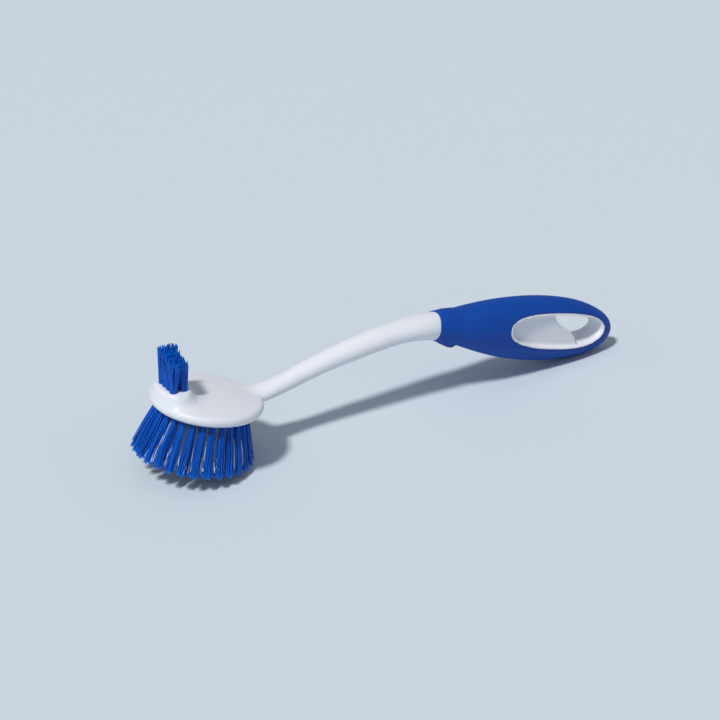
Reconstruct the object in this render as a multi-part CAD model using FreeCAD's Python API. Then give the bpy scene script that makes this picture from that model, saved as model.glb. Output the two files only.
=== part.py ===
import FreeCAD, Part
import math
import os

from FreeCAD import Placement, Rotation, Vector

# A dish brush: a white core with a round head, a blue soft grip moulded over its end, and nylon tufts
# stapled into the head. It is drawn as moulded, with the head level, X running from the head along the
# handle, Y across it and the middle of the head's rim at zero. At the end it is pitched until the heel
# tufts and the belly of the grip both touch the table, and put over the middle of its own box.

# Head block
head_radius = 28.2
head_rim = 2.6
head_edge = 3.0
head_crown = 5.0

# Pad on the toe that carries the scraper tufts
pad_setback = 18.3
pad_base = 1.0
pad_half_length = 8.8
pad_half_width = 14.0
pad_top = 8.0
pad_lean = 8.0
# Shares of the pad's half length, half width and height, from the foot to the top
pad_profile = [
    (1.08, 1.32, 0.0),
    (1.06, 1.2, 0.18),
    (1.03, 1.09, 0.34),
    (0.99, 1.0, 0.52),
    (0.94, 0.93, 0.72),
    (0.87, 0.86, 0.9),
    (0.76, 0.76, 1.0),
]

# Root of the neck in the head: distance in from the rim, rise, half height and half width of its two sections
neck_root = (14.2, 0.2, 1.8, 9.5)
neck_mouth = (0.7, 0.7, 3.4, 7.4)

# Handle: share of the way from the rim to the seam, share of the rise, half height and half width of each section
handle_sections = [
    (0.104, 0.128, 4.3, 5.7),
    (0.309, 0.42, 4.8, 5.9),
    (0.547, 0.702, 5.6, 6.8),
    (0.79, 0.926, 5.9, 8.0),
    (1.0, 0.99, 7.2, 8.2),
]

# Grip: its axis starts at the seam with the white handle and drops towards its end
seam_reach = 127.3
seam_rise = 30.5
grip_drop = 5.0
collar_lead = 1.0
collar_length = 13.0
collar_front = (8.2, 9.0)
collar_back = (10.3, 9.8)
collar_sag = 0.6
collar_edge = 0.6
# Radius of the bowed seam, whose sides reach further over the handle than its top and bottom
collar_bow = 20.0
# Plug of the handle inside the collar: length, half height and half width
plug_section = (4.5, 7.3, 7.4)
grip_sections = [
    (13.0, 9.5, 9.7),
    (25.0, 12.4, 11.7),
    (46.0, 16.6, 12.3),
]
grip_belly = 71.0
grip_half_height = 18.2
grip_half_width = 12.0
grip_length = 119.5
grip_wall = 4.0
tang_setback = 8.5

# Window in the grip: an oval tunnel that narrows to a waist at the middle of the grip. Each outline has its
# front, measured from the seam, its setback from the end of the grip, and its half height
window_reach = 13.0
window_mouth = (41.8, 4.0, 10.4)
window_waist = (45.0, 14.0, 9.7)
window_rise = 1.8
window_bow = 1.4
window_rim = 1.3
# Power of the upper and the lower half of the outline: 2 is an ellipse, more is fuller
window_fullness = (2.1, 2.6)

# Web that closes the front of the window, with a wavy edge that leaves the hanging hole behind it. The ends of
# the edge have their setback from the end of the grip and their height above its axis
tang_half_thickness = 6.0
web_half_thickness = 7.6
web_edge_top = (47.5, 12.0)
web_edge_bottom = (26.5, -7.0)
web_edge_overrun = 0.25
web_wave = 1.8

# Rings of tufts under the head: radius of the outer ring, how far each ring is inside it, the least room that a
# tuft has round its ring, and the outward tilt. The rings stand a little nearer to the toe than the middle of the head
outer_ring_radius = 20.9
ring_inset = {"outer": 0.0, "second": 5.0, "third": 10.0, "inner": 15.3}
tuft_room = {"outer": 4.6, "second": 4.9, "third": 5.5, "inner": 5.5}
ring_tilt = {"outer": 15.0, "second": 10.8, "third": 7.2, "inner": 3.6}
ring_setback = 1.75
hole_diameter = 3.2
hole_depth = 4.0
hole_relief = 0.6
bristle_length = 25.8
# Lean of the whole brush towards the toe
brush_lean = 5.1
tuft_spread = 1.35

# Scraper tufts on the pad
scraper_rows = 4
scraper_columns = 2
scraper_row_pitch = 4.0
scraper_column_pitch = 5.4
scraper_near_length = 13.8
scraper_far_length = 17.5
scraper_hole_diameter = 3.5
scraper_spread = 0.2

# Staple that anchors the fold of each tuft across the bottom of its hole
anchor_thickness = 0.4
anchor_height = 1.6

# Flats of the many-sided forms and points of the curves
tuft_sides = 6
oval_sides = 20
window_sides = 32
end_steps = 6
end_turn = 84.0
rim_steps = 3
edge_points = 9
far = 400.0


def oval(centre, axis, half_height, half_width):
    """An oval wire of many flats in the plane square to axis, which lies in the XZ plane."""
    up = axis.cross(Vector(0, 1, 0)) * half_height
    across = Vector(0, half_width, 0)
    points = []
    for i in range(oval_sides + 1):
        turn = 2 * math.pi * (i + 0.5) / oval_sides
        points.append(centre + up * math.sin(turn) + across * math.cos(turn))
    return Part.makePolygon(points)


def facet_solid(rings):
    """A solid whose flat sides join rings of matching points and whose ends are capped."""
    sides = len(rings[0])
    loops = [rings[0], rings[-1]]
    for low, high in zip(rings, rings[1:]):
        for i in range(sides):
            j = (i + 1) % sides
            loops.append([low[i], low[j], high[j], high[i]])
    faces = [Part.Face(Part.makePolygon(loop + loop[:1])) for loop in loops]
    solid = Part.Solid(Part.Shell(faces))
    if solid.Volume < 0:
        solid.reverse()
    return solid


# Grip frame: distances along the axis of the grip and above it
grip_axis = Vector(math.cos(math.radians(grip_drop)), 0, -math.sin(math.radians(grip_drop)))
grip_up = Vector(-grip_axis.z, 0, grip_axis.x)
seam = Vector(seam_reach, 0, seam_rise)


def on_grip(along, above, across=0.0):
    return seam + grip_axis * along + grip_up * above + Vector(0, across, 0)


def grip_oval(along, half_height, half_width):
    return oval(on_grip(along, 0), grip_axis, half_height, half_width)


def grip_body():
    """The grip without its collar: a loft that swells to the belly and closes in a rounded end."""
    ovals = [grip_oval(*section) for section in grip_sections]
    for i in range(end_steps):
        turn = math.radians(end_turn) * i / (end_steps - 1)
        along = grip_belly + (grip_length - grip_belly) * math.sin(turn)
        ovals.append(grip_oval(along, grip_half_height * math.cos(turn), grip_half_width * math.cos(turn)))
    return Part.makeLoft(ovals, True)


def collar():
    """The ring at the front of the grip, with a bowed front, both of its edges broken and a heavier chin."""
    ovals = []
    for along, (half_height, half_width), trim, sag in (
        (-collar_lead, collar_front, collar_edge, 0),
        (collar_edge - collar_lead, collar_front, 0, 0),
        (collar_length - collar_edge, collar_back, 0, collar_sag),
        (collar_length, collar_back, collar_edge, collar_sag),
    ):
        ovals.append(oval(on_grip(along, -sag), grip_axis, half_height - trim, half_width - trim))
    bow = Part.makeCylinder(collar_bow, 2 * far, on_grip(collar_bow - collar_lead, 0, -far), Vector(0, 1, 0))
    return Part.makeLoft(ovals, True, True).common(bow)


def tang():
    """The flat bar of the core that runs inside the grip, drawn in from the outline of the grip."""
    sides = [(0.0, collar_front[0])] + [section[:2] for section in grip_sections]
    sides.append((grip_belly, grip_half_height))
    top = [on_grip(along, height - grip_wall, -tang_half_thickness) for along, height in sides]
    tip = on_grip(grip_length - tang_setback, 0, -tang_half_thickness)
    bottom = [on_grip(along, grip_wall - height, -tang_half_thickness) for along, height in sides[::-1]]
    edge = Part.BSplineCurve()
    edge.interpolate(Points=top + [tip] + bottom)
    outline = Part.Wire([edge.toShape(), Part.makeLine(bottom[-1], top[0])])
    return Part.Face(outline).extrude(Vector(0, 2 * tang_half_thickness, 0))


def fuller(value, power):
    return math.copysign(abs(value) ** (2 / power), value)


def window_outline(oval_sizes, across, inset):
    front, setback, half_height = oval_sizes
    back = grip_length - setback
    middle = (front + back) / 2
    reach = (back - front) / 2 - inset
    points = []
    for i in range(window_sides + 1):
        turn = 2 * math.pi * (i + 0.5) / window_sides
        power = window_fullness[0] if math.sin(turn) > 0 else window_fullness[1]
        above = window_rise + (half_height - inset) * fuller(math.sin(turn), power)
        above += window_bow * math.cos(turn) ** 2
        points.append(on_grip(middle + reach * fuller(math.cos(turn), power), above, across))
    return Part.makePolygon(points)


def window_tunnel(inset):
    waist = window_outline(window_waist, 0, inset)
    halves = []
    for side in (-1, 1):
        mouth = window_outline(window_mouth, side * window_reach, inset)
        halves.append(Part.makeLoft([waist, mouth], True, True))
    return halves[0].fuse(halves[1])


def web():
    top, bottom = [Vector(grip_length - setback, above, 0) for setback, above in (web_edge_top, web_edge_bottom)]
    slope = bottom - top
    sideways = Vector(-slope.y, slope.x, 0).normalize()
    points = []
    for i in range(edge_points):
        share = (1 + 2 * web_edge_overrun) * i / (edge_points - 1) - web_edge_overrun
        spot = top + slope * share - sideways * (web_wave * math.sin(2 * math.pi * share))
        points.append(on_grip(spot.x, spot.y, -web_half_thickness))
    edge = Part.BSplineCurve()
    edge.interpolate(Points=points)
    front = window_waist[0] - window_rim
    corners = [points[-1]]
    for end in (points[-1], points[0]):
        above = (end - seam).dot(grip_up)
        corners.append(on_grip(front, above, -web_half_thickness))
    corners.append(points[0])
    outline = Part.Wire([edge.toShape()] + Part.makePolygon(corners).Edges)
    return Part.Face(outline).extrude(Vector(0, 2 * web_half_thickness, 0))


def arc_points(centre, radius, start, end):
    """Points on an arc in the XZ plane, between angles measured up from X."""
    turns = [math.radians(start + (end - start) * i / rim_steps) for i in range(rim_steps + 1)]
    return [centre + Vector(math.cos(turn), 0, math.sin(turn)) * radius for turn in turns]


def head_block():
    """A round block with a domed top that runs smoothly into a rounded rim, and a flat underside."""
    flat = head_radius - head_rim
    crown_radius = (flat ** 2 + head_crown ** 2 - head_rim ** 2) / (2 * (head_crown - head_rim))
    crown_centre = Vector(0, 0, head_crown - crown_radius)
    slope = math.degrees(math.atan2(-crown_centre.z, flat))
    rim = arc_points(Vector(flat, 0, 0), head_rim, slope, 0)
    edge = arc_points(Vector(head_radius - head_edge, 0, 0), head_edge, 0, -90)
    crown = arc_points(crown_centre, crown_radius, 90, slope)
    corners = [Vector(0, 0, -head_edge)] + crown + rim[1:] + edge[1:]
    outline = Part.makePolygon(corners + corners[:1])
    return Part.Face(outline).revolve(Vector(0, 0, 0), Vector(0, 0, 1), 360)


# Pad frame: its origin is in the middle of the pad's base, and it leans towards the toe
pad_place = Placement(Vector(-pad_setback, 0, pad_base), Rotation(Vector(0, 1, 0), -pad_lean))


def pad():
    """A raised oval that sweeps out into the head at its foot and rounds over at its top."""
    ovals = []
    for length, width, height in pad_profile:
        points = []
        for i in range(oval_sides + 1):
            turn = 2 * math.pi * (i + 0.5) / oval_sides
            x = pad_half_length * length * math.cos(turn)
            y = pad_half_width * width * math.sin(turn)
            points.append(pad_place.multVec(Vector(x, y, pad_top * height)))
        ovals.append(Part.makePolygon(points))
    return Part.makeLoft(ovals, True)


def handle():
    sections = [(head_radius - inward, *rest) for inward, *rest in (neck_root, neck_mouth)]
    for share, lift, half_height, half_width in handle_sections:
        reach = head_radius + (seam_reach - head_radius) * share
        sections.append((reach, seam_rise * lift, half_height, half_width))
    centres = [Vector(reach, 0, rise) for reach, rise, _, _ in sections]
    line = Part.BSplineCurve()
    line.interpolate(Points=centres, InitialTangent=Vector(1, 0, 0), FinalTangent=grip_axis)
    ovals = []
    for centre, (_, _, half_height, half_width) in zip(centres, sections):
        axis = line.tangent(line.parameter(centre))[0]
        ovals.append(oval(centre, axis, half_height, half_width))
    ovals.append(grip_oval(*plug_section))
    return Part.makeLoft(ovals, True)


def ring_places(name):
    outward = Rotation(Vector(0, 1, 0), 180 - ring_tilt[name])
    toeward = Rotation(Vector(0, 1, 0), brush_lean)
    radius = outer_ring_radius - ring_inset[name]
    count = int(2 * math.pi * radius / tuft_room[name])
    spots = []
    for i in range(count):
        around = Rotation(Vector(0, 0, 1), 360 * i / count)
        mouth = around.multVec(Vector(radius, 0, -head_edge)) - Vector(ring_setback, 0, 0)
        spots.append(Placement(mouth, toeward * around * outward))
    return spots


def scraper_places():
    places = []
    for column in range(scraper_columns):
        for row in range(scraper_rows):
            x = (column - (scraper_columns - 1) / 2) * scraper_column_pitch
            y = (row - (scraper_rows - 1) / 2) * scraper_row_pitch
            places.append(pad_place * Placement(Vector(x, y, pad_top), Rotation()))
    return places


def flats(radius, height):
    turns = [2 * math.pi * (i + 0.5) / tuft_sides for i in range(tuft_sides)]
    return [Vector(radius * math.cos(turn), radius * math.sin(turn), height) for turn in turns]


def hole(diameter):
    return facet_solid([flats(diameter / 2, -hole_depth), flats(diameter / 2, hole_relief)])


def anchor(length):
    corner = Vector(-anchor_thickness / 2, -length / 2, -hole_depth)
    return Part.makeBox(anchor_thickness, length, anchor_height, corner)


def tuft(diameter, length, spread, tilt):
    """A tuft that fills its hole, straddles its staple and widens to a tip trimmed parallel to the head."""
    root = diameter / 2
    growth = spread / length
    lean = math.radians(tilt)
    tip = []
    for out in flats(1.0, 0):
        reach = length - (root - growth * hole_relief) * out.x * math.sin(lean)
        reach = reach / (math.cos(lean) + growth * out.x * math.sin(lean))
        tip.append(out * (root + growth * (reach - hole_relief)) + Vector(0, 0, reach))
    return facet_solid([flats(root, -hole_depth), flats(root, hole_relief), tip]).cut(anchor(far))


def placed(shape, place):
    copy = shape.copy()
    copy.Placement = place.multiply(shape.Placement)
    return copy


# Where each tuft goes, and the tuft that goes there
places = {name: ring_places(name) for name in ring_inset}
tufts = {}
for name, tilt in ring_tilt.items():
    model = tuft(hole_diameter, bristle_length, tuft_spread, tilt)
    tufts[name] = [placed(model, place) for place in places[name]]
places["scraper"] = scraper_places()
tufts["scraper"] = []
for i, place in enumerate(places["scraper"]):
    share = i % scraper_rows / (scraper_rows - 1)
    length = scraper_near_length + (scraper_far_length - scraper_near_length) * share
    tufts["scraper"].append(placed(tuft(scraper_hole_diameter, length, scraper_spread, 0), place))

# The hole under each tuft, and the staple across it
anchors = {}
holes = []
for name, spots in places.items():
    diameter = scraper_hole_diameter if name == "scraper" else hole_diameter
    staple = anchor(diameter - anchor_thickness * math.tan(math.pi / tuft_sides))
    anchors[name] = [placed(staple, place) for place in spots]
    holes += [placed(hole(diameter), place) for place in spots]

# Grip, moulded over the handle's plug and the tang of the core and round the white rim of the window
skin = grip_body().fuse(collar())
rim = window_tunnel(0)
bar = tang()
stem = handle()
grip = skin.cut([stem, bar, rim])

# Core in one piece, then its window and tuft holes
core = head_block().fuse([pad(), stem, bar, skin.common(rim)])
window = window_tunnel(window_rim).cut(web())
core = core.cut([window] + holes)

nodes = {"core": core, "grip": grip}
for name in ("outer", "scraper"):
    for i, one in enumerate(tufts[name]):
        nodes[f"{name}_tuft_{i + 1:02d}"] = one
for name in ("second", "third", "inner"):
    nodes[f"{name}_ring_tufts"] = Part.makeCompound(tufts[name])
for name, group in anchors.items():
    nodes[f"{name}_anchors"] = Part.makeCompound(group)


def lowest_tip(pitch):
    turned = Rotation(Vector(0, 1, 0), pitch)
    return min(turned.multVec(v.Point).z for one in tufts["outer"] for v in one.Vertexes)


def lowest_belly(pitch):
    turned = Rotation(Vector(0, 1, 0), pitch)
    reach = turned.multVec(grip_axis).z * (grip_length - grip_belly)
    height = turned.multVec(grip_up).z * grip_half_height
    return turned.multVec(on_grip(grip_belly, 0)).z - math.hypot(reach, height)


def rest_pitch():
    """The pitch, in degrees, at which the lowest tip and the belly of the grip are level."""
    low, high = 0.0, 45.0
    for _ in range(50):
        pitch = (low + high) / 2
        if lowest_belly(pitch) > lowest_tip(pitch):
            low = pitch
        else:
            high = pitch
    return pitch


pitch = rest_pitch()
rest = Placement(Vector(0, 0, -lowest_tip(pitch)), Rotation(Vector(0, 1, 0), pitch))
nodes = {name: placed(shape, rest) for name, shape in nodes.items()}
box = Part.makeCompound(list(nodes.values())).optimalBoundingBox(False)
middle = Placement(Vector(-box.Center.x, -box.Center.y, -box.ZMin), Rotation())

os.makedirs("parts", exist_ok=True)
for name, shape in nodes.items():
    placed(shape, middle).exportStep(f"parts/{name}.step")
    print(name, shape.isValid(), len(shape.Solids), round(shape.Volume, 1))
print("pitch", round(pitch, 2), "box", box)
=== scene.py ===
import math

import bmesh
import bpy
import numpy as np
from mathutils import Matrix, Vector


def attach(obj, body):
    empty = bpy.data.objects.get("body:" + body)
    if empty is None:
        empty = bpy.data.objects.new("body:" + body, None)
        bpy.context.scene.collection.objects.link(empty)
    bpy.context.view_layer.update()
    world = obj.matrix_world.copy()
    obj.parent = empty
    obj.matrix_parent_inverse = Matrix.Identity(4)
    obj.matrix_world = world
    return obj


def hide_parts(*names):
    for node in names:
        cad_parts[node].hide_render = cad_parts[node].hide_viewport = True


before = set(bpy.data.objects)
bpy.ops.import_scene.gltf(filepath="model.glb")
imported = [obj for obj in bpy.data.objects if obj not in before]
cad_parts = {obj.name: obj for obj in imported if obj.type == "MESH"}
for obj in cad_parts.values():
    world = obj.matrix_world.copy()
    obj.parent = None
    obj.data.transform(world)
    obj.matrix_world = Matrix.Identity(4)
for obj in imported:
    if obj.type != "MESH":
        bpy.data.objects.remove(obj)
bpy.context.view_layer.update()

scene = bpy.context.scene
scene.view_settings.view_transform = "Standard"
print("frame loaded:", len(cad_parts), "nodes")


def usable(sockets, key):
    found = [socket for socket in sockets if not socket.is_unavailable]
    return found[key] if isinstance(key, int) else next(socket for socket in found if socket.name == key)


class Board:
    # a node tree that nodes are added to
    def __init__(self, tree):
        self.tree = tree

    def add(self, nodeType, settings=None, sockets=None, output=0):
        node = self.tree.nodes.new(nodeType)
        for name, value in (settings or {}).items():
            if name == "stops":  # a ramp's places and colours
                for spot, (place, colour) in enumerate(value):
                    stop = node.color_ramp.elements[spot] if spot < 2 else node.color_ramp.elements.new(place)
                    stop.position = place
                    stop.color = (*colour, 1)
            else:
                setattr(node, name, value)
        for name, value in (sockets or {}).items():
            socket = usable(node.inputs, name)
            if isinstance(value, Wire):
                self.tree.links.new(value.socket, socket)
            else:
                socket.default_value = value
        return Wire(self, usable(node.outputs, output) if node.outputs else None)


class Wire:
    # an output socket that takes part in sums
    def __init__(self, board, socket):
        self.board = board
        self.socket = socket

    def sum(self, operation, first, second):
        isVector = [isinstance(side, Wire) and side.socket.type == "VECTOR" for side in (first, second)]
        if all(isVector):
            return self.board.add("ShaderNodeVectorMath", {"operation": operation}, {0: first, 1: second})
        if any(isVector):  # a vector times a number
            arrow, factor = (first, second) if isVector[0] else (second, first)
            return self.board.add("ShaderNodeVectorMath", {"operation": "SCALE"},
                                  {"Vector": arrow, "Scale": factor})
        return self.board.add("ShaderNodeMath", {"operation": operation}, {0: first, 1: second})

    def __add__(self, other):
        return self.sum("ADD", self, other)

    def __radd__(self, other):
        return self.sum("ADD", other, self)

    def __sub__(self, other):
        return self.sum("SUBTRACT", self, other)

    def __rsub__(self, other):
        return self.sum("SUBTRACT", other, self)

    def __mul__(self, other):
        return self.sum("MULTIPLY", self, other)

    def __rmul__(self, other):
        return self.sum("MULTIPLY", other, self)

    def __truediv__(self, other):
        return self.sum("DIVIDE", self, other)

    def __pow__(self, other):
        return self.sum("POWER", self, other)


def newFinish(name):
    finish = bpy.data.materials.new(name)
    finish.use_nodes = True
    finish.node_tree.nodes.clear()
    return finish, Board(finish.node_tree)


def closeFinish(board, sockets):
    shader = board.add("ShaderNodeBsdfPrincipled", None, sockets)
    board.add("ShaderNodeOutputMaterial", None, {"Surface": shader})


def cloud(board, place, size, detail=2.0, roughness=0.5):
    # a soft noise from 0 to 1 with blotches about this many metres across
    return board.add("ShaderNodeTexNoise", None,
                     {"Vector": place, "Scale": 1 / size, "Detail": detail, "Roughness": roughness}, "Fac")


def blendColours(board, factor, first, second):
    first, second = [side if isinstance(side, Wire) else (*side, 1) for side in (first, second)]
    return board.add("ShaderNodeMix", {"data_type": "RGBA"}, {"Factor": factor, "A": first, "B": second}, "Result")


def between(limits, share):
    low, high = limits
    return low + (high - low) * share


def objectPlace(board):
    return board.add("ShaderNodeTexCoord", None, None, "Object")


# White polypropylene of the head and handle: satin, with faint flow marks and a fine moulded grain
whitePlastic = {
    "cool": (0.74, 0.775, 0.85),
    "warm": (0.83, 0.835, 0.885),
    "flowSize": 0.03,
    "flowDetail": 3.0,
    "flowShare": 0.6,  # how much of the change in gloss follows the flow marks, not the grain
    "grainSize": 0.00045,
    "grainDetail": 1.0,
    "grainDepth": 0.00003,
    "grainStrength": 0.25,
    "gloss": (0.42, 0.54),
    "glow": 0.08,
    "glowRadius": (0.004, 0.004, 0.005),
    "ior": 1.49,
}


def makeWhitePlastic():
    finish, board = newFinish("satinWhitePlastic")
    place = objectPlace(board)
    flow = cloud(board, place, whitePlastic["flowSize"], whitePlastic["flowDetail"])
    grain = cloud(board, place, whitePlastic["grainSize"], whitePlastic["grainDetail"])
    flowShare = whitePlastic["flowShare"]
    bump = board.add("ShaderNodeBump", None, {"Height": grain, "Strength": whitePlastic["grainStrength"],
                                              "Distance": whitePlastic["grainDepth"]})
    closeFinish(board, {
        "Base Color": blendColours(board, flow, whitePlastic["cool"], whitePlastic["warm"]),
        "Roughness": between(whitePlastic["gloss"], flowShare * flow + (1 - flowShare) * grain),
        "Normal": bump,
        "Subsurface Weight": whitePlastic["glow"],
        "Subsurface Radius": whitePlastic["glowRadius"],
        "Subsurface Scale": 1.0,
        "IOR": whitePlastic["ior"],
    })
    return finish


# Blue soft-touch grip: matte, with a fine spark-eroded grain and a slightly paler bloom
softBlue = {
    "deep": (0.0005, 0.05, 0.33),
    "bloom": (0.001, 0.07, 0.4),
    "bloomSize": 0.022,
    "bloomDetail": 4.0,
    "bloomRoughness": 0.6,
    "bloomShare": 0.65,  # how much of the change in colour follows the bloom, not the grain
    "grainSize": 0.0005,
    "grainDetail": 2.0,
    "grainDepth": 0.00006,
    "grainStrength": 0.35,
    "gloss": (0.52, 0.64),
    "shine": 0.28,
    "ior": 1.47,
}


def makeSoftBlue():
    finish, board = newFinish("softBlueGrip")
    place = objectPlace(board)
    bloom = cloud(board, place, softBlue["bloomSize"], softBlue["bloomDetail"], softBlue["bloomRoughness"])
    grain = cloud(board, place, softBlue["grainSize"], softBlue["grainDetail"])
    bloomShare = softBlue["bloomShare"]
    paleness = bloomShare * bloom + (1 - bloomShare) * grain
    bump = board.add("ShaderNodeBump", None, {"Height": grain, "Strength": softBlue["grainStrength"],
                                              "Distance": softBlue["grainDepth"]})
    closeFinish(board, {
        "Base Color": blendColours(board, paleness, softBlue["deep"], softBlue["bloom"]),
        "Roughness": between(softBlue["gloss"], 0.5 * bloom + 0.5 * grain),
        "Normal": bump,
        "IOR": softBlue["ior"],
        "Specular IOR Level": softBlue["shine"],
    })
    return finish


# Nylon filaments: each one a little lighter or darker, deeper at the root, paler where the tip is cut
blueNylon = {"name": "blueNylon", "dark": (0.0005, 0.06, 0.43), "light": (0.001, 0.16, 0.76),
             "tip": (0.004, 0.21, 0.84), "gloss": (0.3, 0.46), "streakSize": 0.0012}
# the white filaments' colours are tinted blue as painted bounce light: it stands in for the blue light they would
# pick up in the shaded gaps between the blue tufts
whiteNylon = {"name": "milkyNylon", "dark": (0.5, 0.62, 0.84), "light": (0.8, 0.87, 0.96),
              "tip": (0.85, 0.9, 0.96), "gloss": (0.24, 0.4), "streakSize": 0.0012}
bothNylons = {"toneShare": 0.7, "tipSharpness": 14.0, "tipPaleness": 0.6, "ior": 1.53, "shine": 0.3}


def makeNylon(look):
    finish, board = newFinish(look["name"])
    tone = board.add("ShaderNodeAttribute", {"attribute_name": "tone"}, None, "Fac")
    along = board.add("ShaderNodeAttribute", {"attribute_name": "along"}, None, "Fac")
    streak = cloud(board, objectPlace(board), look["streakSize"])
    toneShare = bothNylons["toneShare"]
    shade = blendColours(board, toneShare * tone + (1 - toneShare) * streak, look["dark"], look["light"])
    tipMask = along ** bothNylons["tipSharpness"]
    closeFinish(board, {
        "Base Color": blendColours(board, bothNylons["tipPaleness"] * tipMask, shade, look["tip"]),
        "Roughness": between(look["gloss"], streak),
        "IOR": bothNylons["ior"],
        "Specular IOR Level": bothNylons["shine"],
    })
    return finish


# Flat steel wire of the staples
stapleSteel = {"bright": (0.62, 0.62, 0.62), "dull": (0.42, 0.42, 0.43), "gloss": (0.25, 0.45),
               "brushSize": 0.0008, "brushDetail": 3.0}


def makeStapleSteel():
    finish, board = newFinish("stapleSteel")
    brushed = cloud(board, objectPlace(board), stapleSteel["brushSize"], stapleSteel["brushDetail"])
    closeFinish(board, {
        "Base Color": blendColours(board, brushed, stapleSteel["dull"], stapleSteel["bright"]),
        "Metallic": 1.0,
        "Roughness": between(stapleSteel["gloss"], brushed),
    })
    return finish


print("finishes defined")


def newPiece(name, mesh, finish, nodes):
    piece = bpy.data.objects.new(name, mesh)
    scene.collection.objects.link(piece)
    mesh.materials.clear()
    mesh.materials.append(finish)
    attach(piece, "root")
    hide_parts(*nodes)
    print(name, "has", sum(len(face.vertices) - 2 for face in mesh.polygons), "triangles")
    return piece


mergeDistance = 1e-6


def mergedCopy(node):
    # a node's mesh is loose triangles, so a copy of it is joined up
    work = bmesh.new()
    work.from_mesh(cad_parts[node].data)
    bmesh.ops.remove_doubles(work, verts=work.verts, dist=mergeDistance)
    return work


def mergedMesh(node):
    work = mergedCopy(node)
    mesh = bpy.data.meshes.new(node + "Merged")
    work.to_mesh(mesh)
    work.free()
    return mesh


def evaluatedMesh(mesh, addModifier):
    # a plain mesh of what one modifier makes of a mesh
    holder = bpy.data.objects.new("holder", mesh)
    scene.collection.objects.link(holder)
    addModifier(holder)
    made = bpy.data.meshes.new_from_object(holder.evaluated_get(bpy.context.evaluated_depsgraph_get()))
    bpy.data.objects.remove(holder)
    bpy.data.meshes.remove(mesh)
    return made


def evenMesh(mesh, grain):
    # the same shape in small even faces
    def addModifier(holder):
        remesh = holder.modifiers.new("even", "REMESH")
        remesh.mode = "VOXEL"
        remesh.voxel_size = grain
        remesh.use_smooth_shade = True

    return evaluatedMesh(mesh, addModifier)


def vertexPlaces(mesh):
    places = np.empty(len(mesh.vertices) * 3, np.float32)
    mesh.vertices.foreach_get("co", places)
    return places.reshape(-1, 3).astype(float)


def setPlaces(mesh, places):
    mesh.vertices.foreach_set("co", places.astype(np.float32).ravel())
    mesh.update()


def meshEdges(mesh):
    ends = np.empty(len(mesh.edges) * 2, np.int32)
    mesh.edges.foreach_get("vertices", ends)
    return ends.reshape(-1, 2)


def neighbourMeans(places, ends):
    # the middle of each vertex's neighbours
    count = len(places)
    neighbours = np.maximum(np.bincount(ends.ravel(), minlength=count), 1)
    means = np.empty_like(places)
    for axis in range(3):
        means[:, axis] = np.bincount(ends[:, 0], places[ends[:, 1], axis], count)
        means[:, axis] += np.bincount(ends[:, 1], places[ends[:, 0], axis], count)
    return means / neighbours[:, None]


relaxSteps = (0.5, -0.51)  # in, and out again by a little more
sweepStep = 0.5


def relaxMesh(mesh, rounds, softness):
    # rounds off small corners and flats, and keeps the volume; softness is a share for each vertex
    places = vertexPlaces(mesh)
    ends = meshEdges(mesh)
    for step in relaxSteps * rounds:
        places += step * softness[:, None] * (neighbourMeans(places, ends) - places)
    setPlaces(mesh, places)


def fillCreases(mesh, rounds, share):
    # fills inside corners with a soft sweep and leaves what stands out; share is for each vertex
    chosen = np.flatnonzero(share > 0)
    newNumber = np.full(len(share), -1)
    newNumber[chosen] = np.arange(len(chosen))
    ends = newNumber[meshEdges(mesh)]
    ends = ends[(ends >= 0).all(1)]
    normals = np.empty(len(share) * 3, np.float32)
    mesh.vertices.foreach_get("normal", normals)
    normals = normals.reshape(-1, 3)[chosen].astype(float)
    places = vertexPlaces(mesh)
    swept = places[chosen]
    for _ in range(rounds):
        lift = ((neighbourMeans(swept, ends) - swept) * normals).sum(1)
        swept += (sweepStep * share[chosen] * np.maximum(lift, 0))[:, None] * normals
    places[chosen] = swept
    setPlaces(mesh, places)


def ease(values, start, end):
    # 0 up to the start, 1 from the end on, and soft in between
    share = np.clip((values - start) / (end - start), 0, 1)
    return share * share * (3 - 2 * share)


# Core: the moulded white piece, with its flats evened out and its junctions blended
core = {
    "grain": 0.00054,
    "rounds": 224,
    "headCentre": (-0.1036, 0, 0.0335),
    "headTilt": 10.47,
    "bottom": (-0.003, -0.001),  # the underside's heights, below which nothing is swept
    "holesRadius": 0.0252,
    "holesTop": 0.0015,
    "holesSoftness": 0.12,
    "crown": 0.005,
    "crownRadius": 0.14,
    "padSetback": 0.0183,
    "padHalf": (0.0095, 0.0165),
    "padFlat": 0.0085,  # the tufts stand within this distance of the middle
    "padEndDrop": 0.5,  # how much lower the ends of the pad are, as a share of its height
    "padSweep": (1.5, 2.2),  # where the sweep of its foot fades, in half sizes of the pad
    "padRounds": 214,
    "neckSetback": 0.026,
    "neckSweep": (0.014, 0.022),
    "neckRounds": 86,
    "sweepPasses": 3,
    "lastRounds": 20,
    "window": (0.05, 0.056),
    "windowRecess": 0.015,  # the window's white rim is set back by this share of the grip's width
}


def tiltedAxes(degrees):
    # along, across and up, for something that dips this much towards the end of the handle
    dip = math.radians(degrees)
    return np.array([[math.cos(dip), 0, -math.sin(dip)], [0, 1, 0], [math.sin(dip), 0, math.cos(dip)]])


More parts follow.
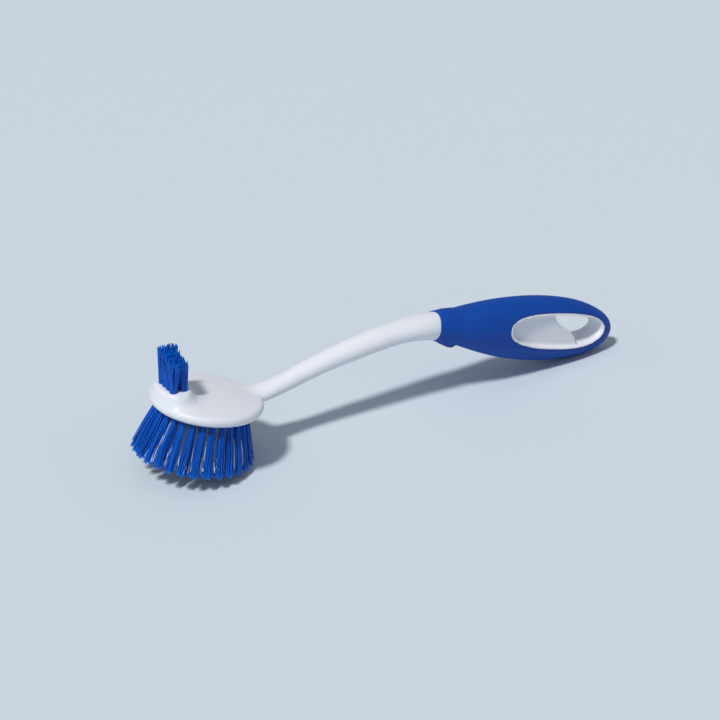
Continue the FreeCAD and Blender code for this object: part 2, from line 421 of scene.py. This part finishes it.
def makeCore(finish):
    mesh = evenMesh(mergedMesh("core"), core["grain"])
    axes = tiltedAxes(core["headTilt"])
    along, across, height = axes @ (vertexPlaces(mesh) - np.array(core["headCentre"])).T
    radius = np.hypot(along, across)
    holes = (radius < core["holesRadius"]) & (height < core["holesTop"])
    softness = np.where(holes, core["holesSoftness"], 1.0)
    relaxMesh(mesh, core["rounds"], softness)

    # the pad runs down to the crown at both ends
    padReach = np.hypot((along + core["padSetback"]) / core["padHalf"][0], across / core["padHalf"][1])
    proud = np.maximum(height - core["crown"] + radius ** 2 / (2 * core["crownRadius"]), 0)
    fall = core["padEndDrop"] * ease(abs(across), core["padFlat"], core["padHalf"][1])
    fall *= 1 - ease(along, 0, core["padSetback"])
    setPlaces(mesh, vertexPlaces(mesh) - (fall * proud)[:, None] * axes[2])

    # the pad's foot and the neck's root sweep into the crown
    neckReach = np.hypot(along - core["neckSetback"], across)
    outside = ease(height, *core["bottom"]) * ~holes
    padSweep = outside * (1 - ease(padReach, *core["padSweep"]))
    neckSweep = outside * (1 - ease(neckReach, *core["neckSweep"]))
    for _ in range(core["sweepPasses"]):
        fillCreases(mesh, core["padRounds"], padSweep)
        fillCreases(mesh, core["neckRounds"], neckSweep)
    relaxMesh(mesh, core["lastRounds"], softness)

    places = vertexPlaces(mesh)
    places[:, 1] *= 1 - core["windowRecess"] * ease(places[:, 0], *core["window"])
    setPlaces(mesh, places)
    return newPiece("whiteCore", mesh, finish, ["core"])


# Grip: the blue overmould, with its flats evened out and its collar kept crisp
grip = {
    "grain": 0.0005,
    "rounds": 260,
    "seam": (0.0271, 0, 0.0404),
    "dip": 15.47,
    "seamSoftness": 0.4,
    "flush": (-0.001, 0.007),  # the stretch in which the collar's front closes in on the handle
    "flushHeight": 0.1,  # by these shares of its size
    "flushWidth": 0.07,
    "collarLength": 0.013,
    "chinDrop": 0.0008,
    "chinRise": (0.003, 0.012),
    "chinRunOut": (0.013, 0.015),
    "chinDepth": (0.004, 0.009),  # below the middle of the seam
    "sweepLength": (0.004, 0.008),  # from the collar's end
    "sweepHeight": (-0.006, -0.001),
    "sweepRounds": 150,
}


def makeGrip(finish):
    mesh = evenMesh(mergedMesh("grip"), grip["grain"])
    axes = tiltedAxes(grip["dip"])
    along, across, height = axes @ (vertexPlaces(mesh) - np.array(grip["seam"])).T
    front = 1 - ease(along, *grip["flush"])
    relaxMesh(mesh, grip["rounds"], 1 - front * (1 - grip["seamSoftness"]))

    # the collar starts flush with the handle and ends in a chin underneath
    chin = ease(along, *grip["chinRise"]) * (1 - ease(along, *grip["chinRunOut"]))
    chin *= ease(-height, *grip["chinDepth"])
    rise = -front * grip["flushHeight"] * height - chin * grip["chinDrop"]
    places = vertexPlaces(mesh) + rise[:, None] * axes[2]
    places[:, 1] -= front * grip["flushWidth"] * across
    setPlaces(mesh, places)

    # elsewhere the end of the collar runs out into the grip
    nearEnd = 1 - ease(abs(along - grip["collarLength"]), *grip["sweepLength"])
    fillCreases(mesh, grip["sweepRounds"], nearEnd * ease(height, *grip["sweepHeight"]))
    return newPiece("softGrip", mesh, finish, ["grip"])


def tuftShapes(nodes):
    # root and tip hexagon of every tuft solid in these nodes: centre and two half axes of each
    shapes = []
    for node in nodes:
        work = mergedCopy(node)
        seen = set()
        for first in work.verts:  # in the mesh's own order, so that every run draws alike
            if first in seen:
                continue
            seen.add(first)
            island = [first]
            for vertex in island:
                for edge in vertex.link_edges:
                    other = edge.other_vert(vertex)
                    if other not in seen:
                        seen.add(other)
                        island.append(other)
            shapes.append(tuftShape(np.array([vertex.co for vertex in island])))
        work.free()
    return shapes


tuftCorners = 6
steepAcross = 0.8  # a tuft that leans across more than this gets its half axes from the other direction


def tuftShape(points):
    middle = points.mean(0)
    axis = np.linalg.svd(points - middle)[2][0]
    reach = (points - middle) @ axis
    if abs(reach.min()) > abs(reach.max()):  # the tip is the end with fewer points, so it lies further out
        axis, reach = -axis, -reach
    order = np.argsort(-reach)
    tipRing, rootRing = points[order[:tuftCorners]], points[order[tuftCorners:2 * tuftCorners]]
    across = np.cross(axis, (0, 1, 0) if abs(axis[1]) < steepAcross else (1, 0, 0))
    across /= np.linalg.norm(across)
    sideways = np.cross(axis, across)
    shape = []
    for ring in (rootRing, tipRing):
        centre = ring.mean(0)
        spread = ring - centre
        size = np.linalg.norm(spread - (spread @ axis)[:, None] * axis, axis=1).mean()
        # half axes in the plane of the ring, so that filaments end where the solid does
        normal = np.linalg.svd(spread)[2][2]
        for arm in (across, sideways):
            shape.append(size * (arm - axis * (arm @ normal) / (axis @ normal)))
        shape.append(centre)
    return shape


shapeNames = ["rootAcross", "rootSideways", "root", "tipAcross", "tipSideways", "tip"]
treeInputs = {"Filaments": "Int", "Thickness": "Float", "Fill": "Float", "Flare": "Float", "Stray": "Float",
              "Short": "Float", "Long": "Float", "Sink": "Float", "Bow": "Float", "Sides": "Int", "Steps": "Int",
              "Seed": "Int", "Finish": "Material"}
packing = {"turn": 2.399963, "jitter": 0.08, "bowPlace": 0.55}  # the turn is the golden angle
drawSteps = {"jitter": 1, "stray": 11, "moreStray": 21, "length": 31, "twist": 41, "tone": 51}  # on the seed


def bristleTree():
    tree = bpy.data.node_groups.new("bristleTree", "GeometryNodeTree")
    tree.interface.new_socket("Tufts", in_out="INPUT", socket_type="NodeSocketGeometry")
    for name, kind in treeInputs.items():
        tree.interface.new_socket(name, in_out="INPUT", socket_type="NodeSocket" + kind)
    tree.interface.new_socket("Bristles", in_out="OUTPUT", socket_type="NodeSocketGeometry")
    board = Board(tree)

    def given(name):
        return board.add("NodeGroupInput", None, None, name)

    def stored(name):
        return board.add("GeometryNodeInputNamedAttribute", {"data_type": "FLOAT_VECTOR"}, {"Name": name},
                         "Attribute")

    def chance(low, high, draw, extra=0):
        return board.add("FunctionNodeRandomValue", {"data_type": "FLOAT"},
                         {"Min": low, "Max": high, "ID": board.add("GeometryNodeInputIndex"),
                          "Seed": given("Seed") + (drawSteps[draw] + extra)}, "Value")

    # one bowed filament of unit length, marked with how far along it each point is
    line = board.add("GeometryNodeCurveQuadraticBezier", None,
                     {"Resolution": given("Steps"), "Start": (0, 0, 0), "End": (0, 0, 1),
                      "Middle": board.add("ShaderNodeCombineXYZ", None,
                                          {"X": given("Bow"), "Z": packing["bowPlace"]})})
    line = board.add("GeometryNodeStoreNamedAttribute", {"data_type": "FLOAT", "domain": "POINT"},
                     {"Geometry": line, "Name": "along",
                      "Value": board.add("GeometryNodeSplineParameter", None, None, "Factor")})
    ring = board.add("GeometryNodeCurvePrimitiveCircle", {"mode": "RADIUS"},
                     {"Resolution": given("Sides"), "Radius": given("Thickness") * 0.5}, "Curve")
    filament = board.add("GeometryNodeCurveToMesh", None,
                         {"Curve": line, "Profile Curve": ring, "Fill Caps": True})
    filament = board.add("GeometryNodeSetShadeSmooth", None, {"Geometry": filament, "Shade Smooth": True})

    # the filaments of each tuft, packed like the seeds of a sunflower
    copies = board.add("GeometryNodeDuplicateElements", {"domain": "POINT"},
                       {"Geometry": given("Tufts"), "Amount": given("Filaments")})
    number = Wire(board, usable(copies.socket.node.outputs, "Duplicate Index"))
    angle = number * packing["turn"]
    reach = ((number + 0.5) / given("Filaments")) ** 0.5 * given("Fill")
    onRoot, onTip = [], []
    for side, operation in enumerate(("COSINE", "SINE")):
        turn = board.add("ShaderNodeMath", {"operation": operation}, {0: angle})
        spot = reach * turn + chance(-packing["jitter"], packing["jitter"], "jitter", side)
        stray = chance(-1, 1, "stray", side) + chance(-1, 1, "moreStray", side)
        onRoot.append(spot)
        onTip.append(spot * given("Flare") + given("Stray") * stray)
    root = stored("root") + stored("rootAcross") * onRoot[0] + stored("rootSideways") * onRoot[1]
    tip = stored("tip") + stored("tipAcross") * onTip[0] + stored("tipSideways") * onTip[1]
    aim = board.add("ShaderNodeVectorMath", {"operation": "NORMALIZE"}, {0: tip - root})
    foot = root - aim * given("Sink")
    tip = tip + aim * (given("Long") - (given("Short") + given("Long")) * chance(0, 1, "length"))
    onPoints = {"data_type": "FLOAT_VECTOR", "domain": "POINT"}
    for name, place in (("foot", foot), ("reach", tip - foot)):
        copies = board.add("GeometryNodeStoreNamedAttribute", onPoints,
                           {"Geometry": copies, "Name": name, "Value": place})
    copies = board.add("GeometryNodeSetPosition", None, {"Geometry": copies, "Position": stored("foot")})
    upright = board.add("FunctionNodeAlignRotationToVector", {"axis": "Z"}, {"Vector": stored("reach")})
    twist = board.add("FunctionNodeAxisAngleToRotation", None,
                      {"Axis": (0, 0, 1), "Angle": chance(0, 2 * math.pi, "twist")})
    turned = board.add("FunctionNodeRotateRotation", {"rotation_space": "LOCAL"},
                       {"Rotation": upright, "Rotate By": twist})
    length = board.add("ShaderNodeVectorMath", {"operation": "LENGTH"}, {0: stored("reach")}, "Value")
    size = board.add("ShaderNodeCombineXYZ", None, {"X": 1.0, "Y": 1.0, "Z": length})
    planted = board.add("GeometryNodeInstanceOnPoints", None,
                        {"Points": copies, "Instance": filament, "Rotation": turned, "Scale": size})
    planted = board.add("GeometryNodeStoreNamedAttribute", {"data_type": "FLOAT", "domain": "INSTANCE"},
                        {"Geometry": planted, "Name": "tone", "Value": chance(0, 1, "tone")})
    real = board.add("GeometryNodeRealizeInstances", None, {"Geometry": planted})
    finished = board.add("GeometryNodeSetMaterial", None, {"Geometry": real, "Material": given("Finish")})
    board.add("NodeGroupOutput", None, {"Bristles": finished})
    return tree


# Bristles: outer ring, white rings inside it, and the scraper block on the toe. Filaments end between "Short"
# below and "Long" above the tuft's own tip, and the tips of a piece keep the shares in "gather" of their distance
# from its middle, along and across the brush
allBristles = {"Sink": 0.003, "Sides": 5, "Steps": 5}
outerBristles = {"Filaments": 66, "Thickness": 0.00034, "Fill": 0.76, "Flare": 1.12, "Stray": 0.16,
                 "Short": 0.0015, "Long": 0.0, "Bow": 0.0008, "Seed": 4, "gather": (1.0, 1.0)}
secondBristles = {"Filaments": 64, "Thickness": 0.0004, "Fill": 0.98, "Flare": 1.1, "Stray": 0.3,
                  "Short": 0.005, "Long": -0.0025, "Bow": 0.003, "Seed": 5, "gather": (1.27, 1.27)}
whiteBristles = {"Filaments": 52, "Thickness": 0.00034, "Fill": 0.92, "Flare": 1.0, "Stray": 0.1,
                 "Short": 0.0006, "Long": 0.0, "Bow": 0.0006, "Seed": 7, "gather": (1.0, 1.0)}
scraperBristles = {"Filaments": 110, "Thickness": 0.00037, "Fill": 1.0, "Flare": 1.3, "Stray": 0.24,
                   "Short": 0.0014, "Long": 0.0016, "Bow": 0.0005, "Seed": 9, "gather": (0.8, 1.0)}


def makeBristles(name, nodes, settings, finish, tree):
    inputs = {**allBristles, **settings, "Finish": finish}
    shapes = tuftShapes(nodes)
    middle = np.mean([shape[-1] for shape in shapes], 0)
    for shape in shapes:
        shape[-1] = middle + (shape[-1] - middle) * np.array([*settings["gather"], 1])
    tufts = bpy.data.meshes.new(name + "Roots")
    tufts.from_pydata([shape[2] for shape in shapes], [], [])
    for spot, attributeName in enumerate(shapeNames):
        layer = tufts.attributes.new(attributeName, "FLOAT_VECTOR", "POINT")
        layer.data.foreach_set("vector", np.array([shape[spot] for shape in shapes], np.float32).ravel())

    def addModifier(holder):
        modifier = holder.modifiers.new("bristles", "NODES")
        modifier.node_group = tree
        for item in tree.interface.items_tree:
            if item.in_out == "INPUT" and item.name in inputs:
                modifier[item.identifier] = inputs[item.name]

    mesh = evaluatedMesh(tufts, addModifier)
    return newPiece(name, mesh, finish, nodes)


blueFilament = makeNylon(blueNylon)
whiteFilament = makeNylon(whiteNylon)
makeCore(makeWhitePlastic())
makeGrip(makeSoftBlue())
nodeNames = sorted(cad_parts)
outerTufts = [name for name in nodeNames if name.startswith("outer_tuft")]
scraperTufts = [name for name in nodeNames if name.startswith("scraper_tuft")]
innerTufts = ["third_ring_tufts", "inner_ring_tufts"]
tree = bristleTree()
makeBristles("outerBristles", outerTufts, outerBristles, blueFilament, tree)
makeBristles("secondBristles", ["second_ring_tufts"], secondBristles, whiteFilament, tree)
makeBristles("whiteBristles", innerTufts, whiteBristles, whiteFilament, tree)
makeBristles("scraperBristles", scraperTufts, scraperBristles, blueFilament, tree)
steel = makeStapleSteel()
for name in nodeNames:
    if name.endswith("_anchors"):
        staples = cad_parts[name].data
        staples.materials.clear()
        staples.materials.append(steel)
print("pieces made")

# Floor: plain and pale
floorLook = {"size": 8.0, "colour": (0.62, 0.7, 0.77), "gloss": 0.75}


def makeFloor():
    half = floorLook["size"] / 2
    corners = [(-half, -half, 0), (half, -half, 0), (half, half, 0), (-half, half, 0)]
    mesh = bpy.data.meshes.new("floor")
    mesh.from_pydata(corners, [], [(0, 1, 2, 3)])
    floor = bpy.data.objects.new("floor", mesh)
    scene.collection.objects.link(floor)
    finish, board = newFinish("paleFloor")
    closeFinish(board, {"Base Color": (*floorLook["colour"], 1), "Roughness": floorLook["gloss"]})
    mesh.materials.append(finish)


makeFloor()

# Studio: a soft key from the toe side and a pale room
studio = {
    "key": {"from": (-0.582, -0.221, 1.0), "spread": 8.0, "strength": 2.5, "colour": (1.0, 0.985, 0.96)},
    "room": {"colour": (0.84, 0.91, 1.0), "strength": 0.32},
}


def makeLamp(name, lampLook):
    lamp = bpy.data.lights.new(name, "SUN")
    lamp.angle = math.radians(lampLook["spread"])
    lamp.energy = lampLook["strength"]
    lamp.color = lampLook["colour"]
    holder = bpy.data.objects.new(name, lamp)
    holder.location = lampLook["from"]
    holder.rotation_euler = (-Vector(lampLook["from"])).to_track_quat("-Z", "Y").to_euler()
    scene.collection.objects.link(holder)


makeLamp("key", studio["key"])
world = bpy.data.worlds.new("room")
scene.world = world
world.use_nodes = True
background = world.node_tree.nodes["Background"]
background.inputs["Color"].default_value = (*studio["room"]["colour"], 1)
background.inputs["Strength"].default_value = studio["room"]["strength"]

# Camera at the photograph's angle
shot = {"yaw": 30.98, "elevation": 27.38, "aim": (0.01557, 0.0535, 0.0), "distance": 1.1, "lens": 101.7,
        "sensor": 36.0}


def makeCamera():
    yaw, tilt = math.radians(shot["yaw"]), math.radians(shot["elevation"])
    right = Vector((math.cos(yaw), -math.sin(yaw), 0))
    away = Vector((math.sin(yaw), math.cos(yaw), 0))
    back = -away * math.cos(tilt) + Vector((0, 0, math.sin(tilt)))
    turn = Matrix((right, back.cross(right), back)).transposed()
    camera = bpy.data.objects.new("camera", bpy.data.cameras.new("camera"))
    camera.data.lens = shot["lens"]
    camera.data.sensor_width = shot["sensor"]
    camera.matrix_world = Matrix.Translation(Vector(shot["aim"]) + back * shot["distance"]) @ turn.to_4x4()
    scene.collection.objects.link(camera)
    scene.camera = camera


makeCamera()
print("stage, lamps and camera set")
